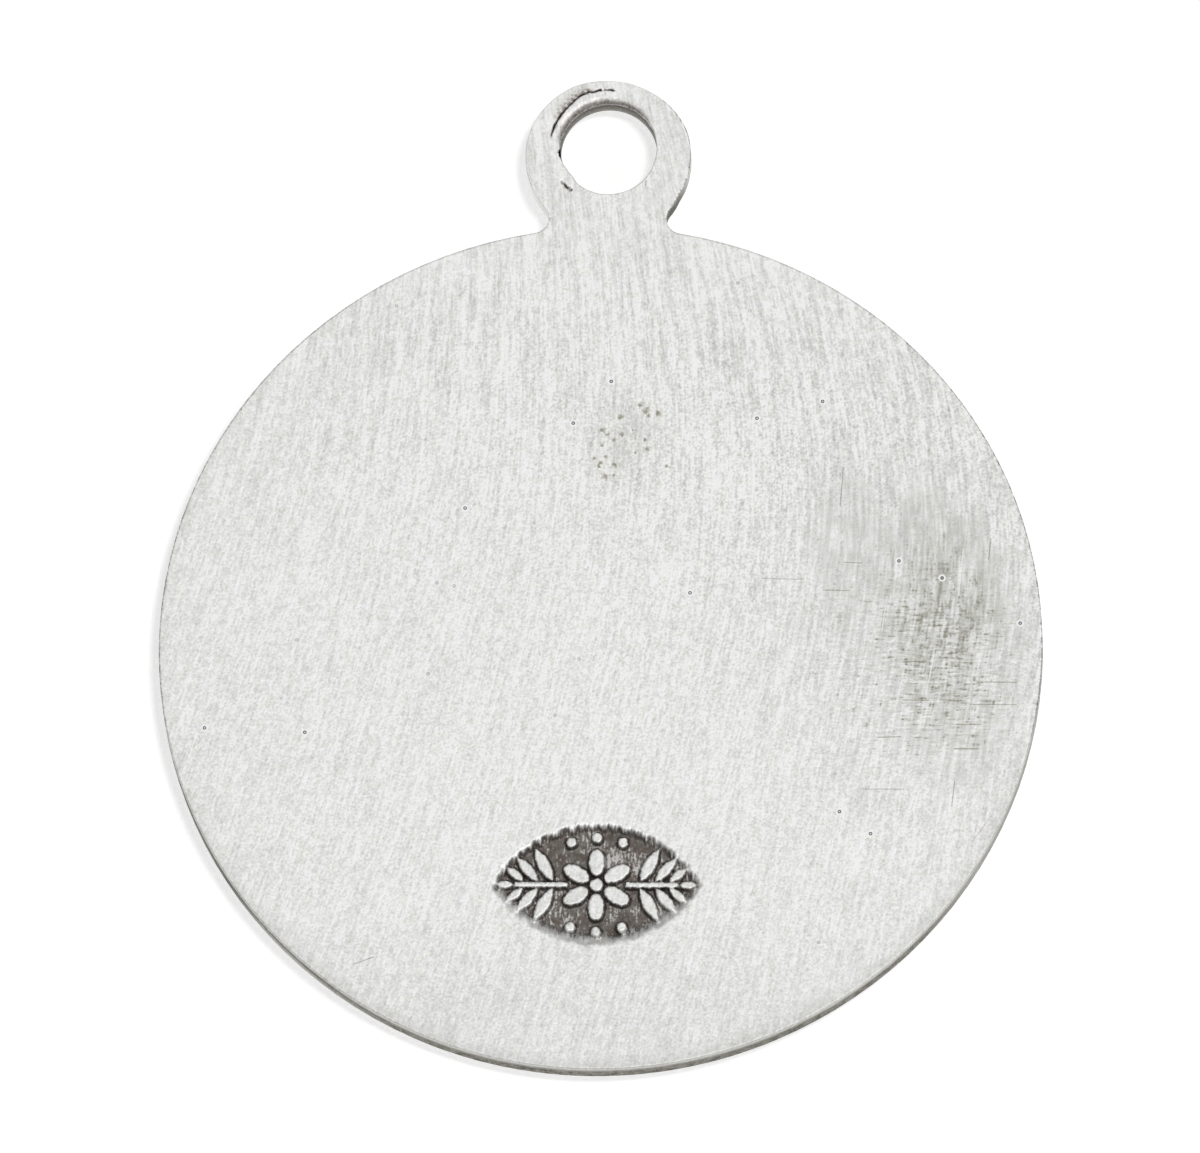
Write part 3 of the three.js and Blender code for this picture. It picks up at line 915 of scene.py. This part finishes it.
def pinhole(nodes, colour, place, points, look, strength):
    """Pinholes as a dark ring around a light dot, with a bright halo."""
    distance = nearest(nodes, place, points)
    ring = nodes.math("MULTIPLY", nodes.remap(distance, 0.012, 0.03), nodes.remap(distance, 0.054, 0.038))
    halo = nodes.math("MULTIPLY", nodes.remap(distance, 0.04, 0.056), nodes.remap(distance, 0.104, 0.08))
    colour = nodes.mix(nodes.math("MULTIPLY", ring, strength), colour, look.pinhole)
    return nodes.mix(nodes.math("MULTIPLY", halo, strength), colour, WHITE)


def scratched(nodes, colour, place, scratches, scratch_colour, strength):
    """Thin scratches between charted ends, by the distance from the nearest point of each."""
    closest = None
    for x0, y0, x1, y1, half_width in scratches:
        along = Vector((x1 - x0, y1 - y0, 0))
        offset = nodes.vector("SUBTRACT", place, (x0, y0, 0))
        share = nodes.math("DIVIDE", nodes.measured("DOT_PRODUCT", offset, along), along.length_squared)
        foot = nodes.scale(along, nodes.clamp(share))
        gap = nodes.math("DIVIDE", nodes.measured("DISTANCE", offset, foot), half_width)
        closest = gap if closest is None else nodes.math("MINIMUM", closest, gap)
    return nodes.mix(nodes.remap(closest, 1.1, 0.3, 0.0, strength), colour, scratch_colour)


def weighted(nodes, start, *parts):
    """start plus each noise, less its mean of a half, times its weight."""
    total = start
    for noise, weight in parts:
        total = nodes.math("MULTIPLY_ADD", nodes.math("SUBTRACT", noise, 0.5), weight, total)
    return total


# Noises of the brushed back, in millimetres: the width and length of strokes, the size of grain, and the
# level that sets each noise apart from the others
HAIR = dict(width=0.06, long=0.26, detail=0.0)
LINE = dict(width=0.11, long=1.2)
BAND = dict(width=0.26, long=3.0)
UPRIGHT = dict(width=0.085, long=0.55, level=23.0)
SPECK = dict(size=0.056, level=1.5, detail=0.0)
MOTTLE = dict(size=0.2, level=4.5)
CLOUD = dict(size=1.3, level=7.5)
PATCH = dict(size=0.55, level=61.5)
OXIDE_GRAIN = dict(size=0.12, level=51.5)
DASH = dict(width=0.34, high=0.07, level=21.0)
RUB = dict(width=0.065, high=0.26, level=41.0, detail=2.0)
BRUSH_DEPTH = 0.0032


def back_patterns(nodes):
    """The place on the back in millimetres, and the noises that its finishes share."""
    x, y, _ = millimetres(nodes)
    across = stroke_across(nodes, x, y)

    def noise(u, v, width, high, level=0.0, detail=1.0):
        return nodes.noise(nodes.math("DIVIDE", u, width), nodes.math("DIVIDE", v, high), level, detail)

    def stroke(width, long, **rest):
        return noise(across, y, width, long, **rest)

    def grain(size, **rest):
        return noise(x, y, size, size, **rest)

    return SimpleNamespace(
        x=x,
        y=y,
        place=nodes.add("ShaderNodeCombineXYZ", {"X": x, "Y": y}).outputs[0],
        hair=stroke(**HAIR),
        line=stroke(**LINE),
        band=stroke(**BAND),
        upright=stroke(**UPRIGHT),
        speck=grain(**SPECK),
        mottle=grain(**MOTTLE),
        cloud=grain(**CLOUD),
        patch=grain(**PATCH),
        oxide_grain=grain(**OXIDE_GRAIN),
        dash=noise(x, y, **DASH),
        rub=noise(x, y, **RUB),
    )


def bare_silver(nodes, p, look):
    """Clean brushed silver: strokes and grain, rougher towards the upper right and with broader strokes
    towards the loop, with painted light that makes it a little lighter in the middle and darker towards the
    bottom, and duller on the right. Its brightest strokes are lightened as a painted glint."""
    pattern = weighted(nodes, 0.0, (p.hair, 0.2), (p.line, 0.27), (p.mottle, 0.04))
    for noise, share in (
        (p.speck, nodes.remap(p.y, 4.0, 11.0, 0.36, 0.2)),
        (p.band, nodes.remap(p.y, 1.0, 8.5, 0.1, 0.27)),
    ):
        pattern = weighted(nodes, pattern, (noise, share))
    rough = nodes.remap(nodes.math("ADD", p.x, nodes.math("MULTIPLY", p.y, 1.5)), -4.0, 16.0, 1.0, 1.6)
    rough = nodes.math("MULTIPLY", rough, nodes.remap(p.y, 9.0, 12.0, 1.0, 0.8))
    tone = nodes.math("MULTIPLY_ADD", pattern, rough, 1.0)
    tone = weighted(nodes, tone, (p.cloud, 0.05))
    # Painted light: a little lighter in the middle, and darker towards the bottom
    lit = nodes.remap(soft_ellipse(nodes, p.x, p.y, LIT), 0, 1, 1.01, 1.035)
    lit = nodes.math("MULTIPLY", lit, nodes.remap(p.y, -6.5, -9.8, 1.0, 0.955))
    colour = nodes.mix(nodes.remap(p.mottle, 0.35, 0.65), look.silver_warm, look.silver_cool)
    colour = nodes.scale(colour, nodes.math("MULTIPLY", tone, lit))

    # The brightest strokes, lightened towards white as a painted glint, and the darkest specks
    colour = nodes.mix(nodes.remap(p.line, 0.66, 0.8, 0.0, 0.4), colour, WHITE)
    colour = nodes.mix(nodes.remap(p.speck, 0.17, 0.1, 0.0, 0.3), colour, look.stain)
    dulled = nodes.remap(p.line, 0.3, 0.7, 0.16, 0.02)
    dulled = nodes.math("MULTIPLY", soft_ellipse(nodes, p.x, p.y, DULL_SIDE), dulled)
    return nodes.mix(dulled, colour, look.stain)


def stained(nodes, colour, p, look):
    """The stain, darker along strokes of both directions, with rows of dark dots where they cross."""
    leaned = nodes.math("MULTIPLY_ADD", p.y, 0.12, p.x)
    shade = nodes.math("MULTIPLY", soft_ellipse(nodes, leaned, p.y, STAIN_BY_IT), 0.36)
    shade = nodes.math("MAXIMUM", shade, nodes.math("MULTIPLY", soft_ellipse(nodes, leaned, p.y, STAIN), 0.9))
    shade = nodes.math("MULTIPLY_ADD", soft_ellipse(nodes, p.x, p.y, STAIN_ROUND_IT), 0.18, shade)
    streak = weighted(
        nodes, 0.35, (p.upright, 1.5), (p.band, 1.4), (p.patch, 0.9), (p.speck, 1.3), (p.hair, 1.1)
    )
    crossed = soft_ellipse(nodes, p.x, p.y, CROSSED_STROKES)
    dashes = nodes.math("ADD", nodes.math("SUBTRACT", p.dash, 0.5), nodes.remap(p.dash, 0.6, 0.8, 0.0, 0.3))
    dashes = nodes.math("MULTIPLY", dashes, nodes.remap(p.speck, 0.3, 0.7, 0.5, 1.5))
    woven = nodes.math("MULTIPLY", dashes, nodes.math("MULTIPLY", crossed, 1.7))
    share = nodes.math("MULTIPLY", shade, nodes.math("ADD", streak, woven))
    share = nodes.math("MULTIPLY_ADD", woven, nodes.math("MULTIPLY", crossed, 0.25), share)
    colour = nodes.mix(nodes.clamp(share), colour, look.stain)
    crossing = weighted(nodes, p.dash, (p.upright, 1.0), (p.speck, 0.5))
    dotted = nodes.math("MULTIPLY", nodes.remap(crossing, 0.68, 0.95, 0.0, 0.6), crossed)
    return nodes.mix(dotted, colour, look.spot)


def marked(nodes, colour, p, look):
    """Brown spots in a faint haze, scratches and pinholes."""
    haze = nodes.remap(p.mottle, 0.35, 0.7, 0.05, 0.36)
    haze = nodes.math("MULTIPLY", soft_ellipse(nodes, p.x, p.y, HAZE), haze)
    colour = nodes.mix(haze, colour, look.stain)
    blurred = weighted(nodes, nearest(nodes, p.place, BROWN_SPOTS), (p.speck, 1.1), (p.hair, 1.3))
    colour = nodes.mix(nodes.remap(blurred, 1.8, 0.0, 0.0, 0.78), colour, look.spot)
    for scratches, scratch_colour, strength in (
        (DARK_SCRATCHES, look.spot, 0.55),
        (RED_SCRATCH, look.red, 0.3),
        (BRIGHT_SCRATCHES, WHITE, 0.7),
    ):
        colour = scratched(nodes, colour, p.place, scratches, scratch_colour, strength)
    for points, strength in ((FAINT_PINHOLES, 0.4), (PINHOLES, 1.0)):
        colour = pinhole(nodes, colour, p.place, points, look, strength)
    return colour


def edge_painted_shade(nodes, colour, p, look):
    """Painted shade on the worn edge: darker towards it at the bottom, and half as much on the left, raggedly
    darker where it turns over at the bottom, and a thin painted dark line of shade where its wall is out of
    sight."""
    edge = nodes.measure("edge")
    low = nodes.remap(p.y, 0.0, -6.5)
    low_or_left = nodes.math("MAXIMUM", low, nodes.math("MULTIPLY", nodes.remap(p.x, -3.0, -9.0), 0.5))
    # Painted shade: the back darker towards its edge at the bottom, and half as much on the left
    low_edge_shade = nodes.math("MULTIPLY", nodes.remap(edge, 0.45, 0.0, 0.0, 0.24), low_or_left)
    colour = nodes.mix(low_edge_shade, colour, look.stain)
    ragged_edge = weighted(nodes, edge, (p.hair, 0.04), (p.speck, 0.045))
    # Painted shade where the edge turns over at the bottom, ragged
    turn_shade = nodes.math("MULTIPLY", nodes.remap(ragged_edge, 0.06, 0.0, 0.0, 0.2), low)
    colour = nodes.mix(turn_shade, colour, look.stain)
    on_disc = nodes.math("MULTIPLY", nodes.remap(p.y, -3.0, -1.5), nodes.remap(p.y, 9.6, 8.2))
    on_loop = nodes.math("MULTIPLY", nodes.remap(p.x, 0.9, 1.7), nodes.remap(p.y, 11.0, 12.0))
    # Painted shade: a thin dark line along the edge where its wall is out of sight
    line = nodes.remap(ragged_edge, 0.03, -0.01, 0.0, 0.75)
    line = nodes.math("MULTIPLY", line, nodes.math("MAXIMUM", on_disc, on_loop))
    return nodes.mix(line, colour, look.edge_dark_and_shade)


def tarnished(nodes, colour, p, look):
    """Dark tarnish in the ornament, rubbed through in scratches, with painted shadow among the darkest
    tarnish in its corners, and brown tarnish and dirt in the loop's cracks and at the eye, with painted shade
    over the eye's lip."""
    rubbed = nodes.remap(weighted(nodes, p.rub, (p.patch, 0.9), (p.speck, 0.4)), 0.52, 0.78, 0.0, 0.62)
    oxide = nodes.mix(nodes.remap(p.oxide_grain, 0.35, 0.65), look.oxide, look.oxide_brown)
    oxide = nodes.scale(oxide, weighted(nodes, 1.14, (p.speck, 0.55), (p.patch, 0.7)))
    oxide = nodes.mix(rubbed, oxide, look.silver_warm)
    film = nodes.measure("coat")
    coat = weighted(nodes, film, (p.rub, 1.1), (p.speck, 0.45))
    covered = nodes.math("MULTIPLY", nodes.remap(coat, 0.28, 0.85), nodes.remap(film, 0.02, 0.2))
    colour = nodes.mix(nodes.remap(film, 0.02, 0.13, 0.0, 0.1), colour, look.stain)
    colour = nodes.mix(covered, colour, oxide)
    # Painted shadow among the darkest tarnish in the ornament's corners
    colour = nodes.mix(nodes.remap(nodes.measure("corner"), 0.2, 0.95, 0.0, 0.52), colour, look.soot_and_shade)
    # Brown tarnish, and the band of painted shade over the eye's lip
    rust_and_shade = weighted(nodes, nodes.measure("rust_and_shade"), (p.speck, 0.4))
    colour = nodes.mix(nodes.remap(rust_and_shade, 0.1, 0.75, 0.0, 0.82), colour, look.rust_and_shade)
    # Dirt in the cracks and at the eye, with painted shade where the lip turns down into it
    dirt_and_shade = weighted(nodes, nodes.measure("dirt_and_shade"), (p.speck, 0.35))
    return nodes.mix(nodes.remap(dirt_and_shade, 0.2, 0.95), colour, look.soot_and_shade)


def brushed_back(look):
    """Brushed silver with painted light in the middle and painted glints, a stain on the right, small marks,
    painted shade along the worn edge, and tarnish in its hollows with painted shadow and shade among it.
    """
    material, nodes = new_material("brushed_silver")
    p = back_patterns(nodes)
    colour = bare_silver(nodes, p, look)
    for finish in (stained, marked, edge_painted_shade, tarnished):
        colour = finish(nodes, colour, p, look)
    relief = weighted(nodes, 0.0, (p.line, 1.1), (p.speck, 0.6))
    bump = {"Height": relief, "Strength": 1.0, "Distance": BRUSH_DEPTH * MM}
    principled(nodes, colour, look.roughness, nodes.add("ShaderNodeBump", bump).outputs[0])
    return material


def trimmed_edge(look):
    """The trimmed wall: it darkens raggedly from the back down, and on the left it is darker and darkens at
    once, which is painted shade. It is paler in places on both sides. On the loop its left is bright silver,
    and its right is dirty towards the neck."""
    material, nodes = new_material("trimmed_edge")
    x, y, z = millimetres(nodes)

    def grain(size, detail):
        return nodes.noise(*(nodes.math("DIVIDE", value, size) for value in (x, y, z)), detail)

    mottle, speck = grain(0.25, 2.0), grain(0.055, 1.0)
    depth = weighted(nodes, nodes.math("SUBTRACT", HIGHEST.z / MM, z), (mottle, 0.16), (speck, 0.24))
    wall = nodes.mix(nodes.remap(weighted(nodes, mottle, (speck, 1.0)), 0.2, 0.75), look.edge_dark_and_shade, look.edge)
    # Painted shade: the wall darker on the left
    left = nodes.math("MULTIPLY", nodes.remap(x, -4.5, -7.0), nodes.remap(y, 1.0, -1.5))
    wall = nodes.mix(nodes.math("MULTIPLY", left, 0.65), wall, look.edge_dark_and_shade)
    low_left = nodes.math("MULTIPLY", left, nodes.remap(y, -6.0, -7.5))
    pale = nodes.math("MULTIPLY", low_left, nodes.remap(depth, 0.22, 0.5, 0.0, 0.85))
    pale = nodes.math("MAXIMUM", pale, nodes.remap(x, 7.6, 9.6, 0.0, 0.6))
    wall = nodes.mix(pale, wall, look.edge_pale)
    # Painted shade: on the left the wall darkens right below the back
    left_shade_at_top = nodes.math("MULTIPLY", left, nodes.remap(depth, 0.0, 0.16))
    reached = nodes.math("MAXIMUM", nodes.remap(depth, 0.0, 0.3), left_shade_at_top)
    colour = nodes.mix(reached, look.edge_top, wall)
    on_loop = nodes.remap(y, 11.0, 11.4)
    bright_loop_left = nodes.math("MULTIPLY", nodes.remap(x, -1.0, -1.4), on_loop)
    colour = nodes.mix(bright_loop_left, colour, look.silver_warm)
    right = nodes.math("MULTIPLY", nodes.remap(x, 0.9, 1.2), on_loop)
    colour = nodes.mix(nodes.math("MULTIPLY", right, 0.8), colour, look.edge_top)
    dirty = nodes.math("MULTIPLY", right, nodes.remap(y, 12.5, 11.7))
    dirty = nodes.math("MULTIPLY", dirty, nodes.remap(depth, 0.0, 0.2, 0.35, 0.95))
    colour = nodes.mix(dirty, colour, look.bore_dark)
    principled(nodes, colour, WALL_ROUGHNESS)
    return material


def eye_bore(look):
    """The wall of the eye: dark with dirt below the lip, and paler further down, with lighter specks."""
    material, nodes = new_material("eye_bore")
    x, y, z = millimetres(nodes)
    speck = nodes.noise(*(nodes.math("DIVIDE", value, 0.06) for value in (x, y, z)), 2.0)
    depth = nodes.math("SUBTRACT", HIGHEST.z / MM, z)
    paler = weighted(nodes, depth, (speck, 0.7))
    colour = nodes.mix(nodes.remap(paler, 0.15, 0.75), look.bore_dark, look.bore)
    principled(nodes, colour, WALL_ROUGHNESS)
    return material


def struck_front(look):
    """The struck front: a fine and slightly mottled satin."""
    material, nodes = new_material("struck_front")
    x, y, z = millimetres(nodes)
    scaled = [nodes.math("DIVIDE", value, 0.08) for value in (x, y, z)]
    tone = nodes.remap(nodes.noise(*scaled), 0.3, 0.7, 0.94, 1.04)
    principled(nodes, nodes.scale((*look.front,), tone), FRONT_ROUGHNESS)
    return material


class MEDAL_OT_body(bpy.types.Operator):
    """Build the silver medal: disc, neck and loop in one piece"""

    bl_idname = "medal.body"
    bl_label = "Silver medal"

    def execute(self, context):
        sizes = medal_sizes(context.scene)
        look = context.scene.medal_look
        mesh = medal_mesh(sizes)
        for make in (brushed_back, trimmed_edge, eye_bore, struck_front):
            mesh.materials.append(make(look))
        medal = bpy.data.objects.new("medal_silver", mesh)
        context.scene.collection.objects.link(medal)
        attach(medal, "root")
        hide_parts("medal")
        return {"FINISHED"}


def add_floor(stage):
    """A white lit table, far wider than the view."""
    mesh = bpy.data.meshes.new("table")
    corners = [(x * TABLE_HALF, y * TABLE_HALF, -TABLE_GAP) for x, y in ((-1, -1), (1, -1), (1, 1), (-1, 1))]
    mesh.from_pydata(corners, [], [(0, 1, 2, 3)])
    material, nodes = new_material("white_table")
    diffuse = nodes.add("ShaderNodeBsdfDiffuse", {"Color": (*stage.floor, 1)}).outputs[0]
    glow = nodes.add("ShaderNodeEmission", {"Color": (1, 1, 1, 1), "Strength": stage.floor_glow}).outputs[0]
    both = nodes.add("ShaderNodeAddShader", {0: diffuse, 1: glow}).outputs[0]
    nodes.add("ShaderNodeOutputMaterial", {"Surface": both})
    mesh.materials.append(material)
    floor = bpy.data.objects.new("table", mesh)
    bpy.context.scene.collection.objects.link(floor)
    floor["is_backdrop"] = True


def add_sky(scene, stage):
    """Even white light from all round, a little weaker towards the horizon."""
    world = bpy.data.worlds.new("studio")
    world.use_nodes = True
    nodes = Nodes(world.node_tree)
    up = nodes.add("ShaderNodeSeparateXYZ", {0: nodes.add("ShaderNodeTexCoord").outputs["Generated"]})
    level = nodes.remap(up.outputs["Z"], 0.0, 0.8, 0.55, 1.0)
    strength = nodes.math("MULTIPLY", level, stage.sky_strength)
    light = nodes.add("ShaderNodeBackground", {"Color": (1, 1, 1, 1), "Strength": strength}).outputs[0]
    nodes.add("ShaderNodeOutputWorld", {"Surface": light})
    scene.world = world


def add_key(scene, stage):
    """A soft lamp high up on the right."""
    lamp = bpy.data.lights.new("key", "SUN")
    lamp.energy = stage.key_strength
    lamp.angle = stage.key_softness
    key = bpy.data.objects.new("key", lamp)
    flat = math.cos(stage.key_elevation)
    across, ahead = flat * math.cos(stage.key_azimuth), flat * math.sin(stage.key_azimuth)
    towards = Vector((across, ahead, math.sin(stage.key_elevation)))
    key.rotation_euler = towards.to_track_quat("Z", "Y").to_euler()
    scene.collection.objects.link(key)


def add_camera(scene, stage, top):
    """A long lens, looking down at the back of the medal from beyond its lower edge."""
    data = bpy.data.cameras.new("camera")
    data.sensor_width = SENSOR_WIDTH
    data.lens = SENSOR_WIDTH * stage.distance / stage.view_width
    cos, sin = math.cos(stage.elevation), math.sin(stage.elevation)
    level = Vector((math.cos(stage.azimuth), math.sin(stage.azimuth), 0))
    ahead = Vector((-level.y, level.x, 0))
    away = Vector((0, 0, sin)) - cos * ahead
    upright = Vector((0, 0, cos)) + sin * ahead
    turn = stage.roll
    right = math.cos(turn) * level + math.sin(turn) * upright
    up = math.cos(turn) * upright - math.sin(turn) * level
    place = Vector((stage.aim_x, stage.aim_y, top)) + stage.distance * away
    camera = bpy.data.objects.new("camera", data)
    camera.matrix_world = Matrix.Translation(place) @ Matrix((right, up, away)).transposed().to_4x4()
    scene.collection.objects.link(camera)
    scene.camera = camera


class MEDAL_OT_stage(bpy.types.Operator):
    """Set up the white table, the light and the camera"""

    bl_idname = "medal.stage"
    bl_label = "Table, light and camera"

    def execute(self, context):
        scene = context.scene
        stage = scene.medal_stage
        add_floor(stage)
        add_sky(scene, stage)
        add_key(scene, stage)
        add_camera(scene, stage, scene.medal_sizes.thickness)
        scene.view_settings.view_transform = "Standard"
        return {"FINISHED"}


class MEDAL_PT_panel(bpy.types.Panel):
    bl_label = "Religious medal"
    bl_idname = "MEDAL_PT_panel"
    bl_space_type = "VIEW_3D"
    bl_region_type = "UI"
    bl_category = "Medal"

    def draw(self, context):
        for operator in OPERATORS:
            self.layout.operator(operator.bl_idname)
        for name in GROUPS:
            box = self.layout.box()
            group = getattr(context.scene, name)
            for key in type(group).__annotations__:
                box.prop(group, key)


GROUPS = {
    "medal_sizes": MedalSizes,
    "medal_mark": MarkSizes,
    "medal_look": SilverLook,
    "medal_stage": StageSettings,
}
OPERATORS = (MEDAL_OT_body, MEDAL_OT_stage)


def register():
    for kind in (*GROUPS.values(), *OPERATORS, MEDAL_PT_panel):
        bpy.utils.register_class(kind)
    for name, kind in GROUPS.items():
        setattr(bpy.types.Scene, name, PointerProperty(type=kind))


def unregister():
    for name in GROUPS:
        delattr(bpy.types.Scene, name)
    for kind in reversed((*GROUPS.values(), *OPERATORS, MEDAL_PT_panel)):
        bpy.utils.unregister_class(kind)


def main():
    register()
    bpy.ops.medal.body()
    bpy.ops.medal.stage()
    boxes = {"cad": CAD_BOUNDS, "visual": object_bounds()}
    {name: [list(corner) for corner in box] for name, box in boxes.items()}


if __name__ == "__main__":
    main()
